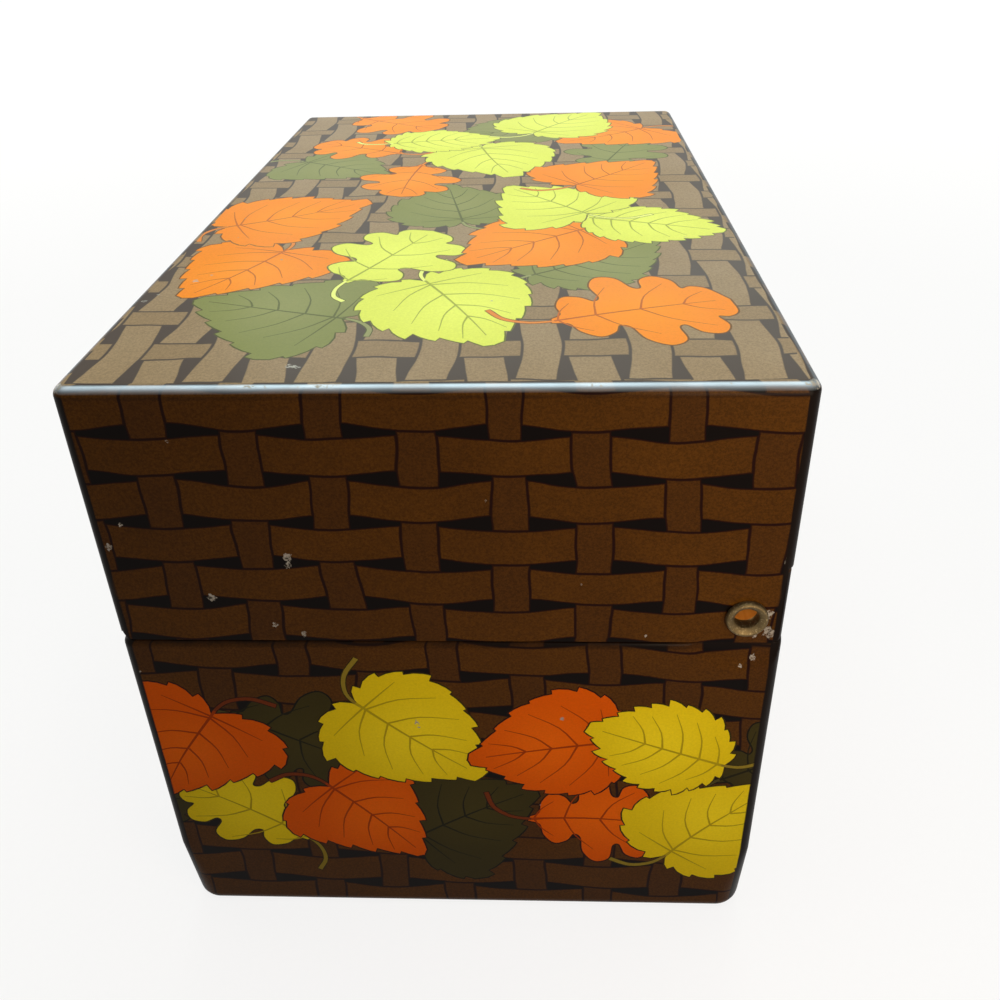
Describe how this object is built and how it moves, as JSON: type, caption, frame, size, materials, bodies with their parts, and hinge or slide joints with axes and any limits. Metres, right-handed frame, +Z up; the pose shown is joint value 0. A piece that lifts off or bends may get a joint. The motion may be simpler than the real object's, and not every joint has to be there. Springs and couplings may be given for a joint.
{
  "type": "recipe card box",
  "caption": "Hinged tinplate box for index cards: folded base with an inset neck, a deep lid on two side eyelets, and a woven-basket and leaf print.",
  "frame": {"origin": "centre of the box's bounding box at the level of the table", "axes": "+X runs along the row of cards to the right end, +Y to the hinge side at the rear, +Z up; the lid opens at the front, which faces -Y"},
  "size_m": [0.1378, 0.083, 0.0885],
  "materials": {
    "printed_tinplate_base": "glossy lacquered print, worn at the edges",
    "printed_tinplate_lid": "glossy lacquered print, worn at the edges",
    "eyelet_brass": "dull, aged"
  },
  "bodies": {
    "base": {"base": "printed_tinplate_base", "right_eyelet": "eyelet_brass", "left_eyelet": "eyelet_brass"},
    "lid": {"lid": "printed_tinplate_lid"}
  },
  "joints": [
    {"name": "lid_hinge", "type": "hinge", "parent": "base", "child": "lid", "pos_m": [0, 0.03645, 0.05705], "axis": [-1, 0, 0], "range_deg": [0, 105]}
  ]
}
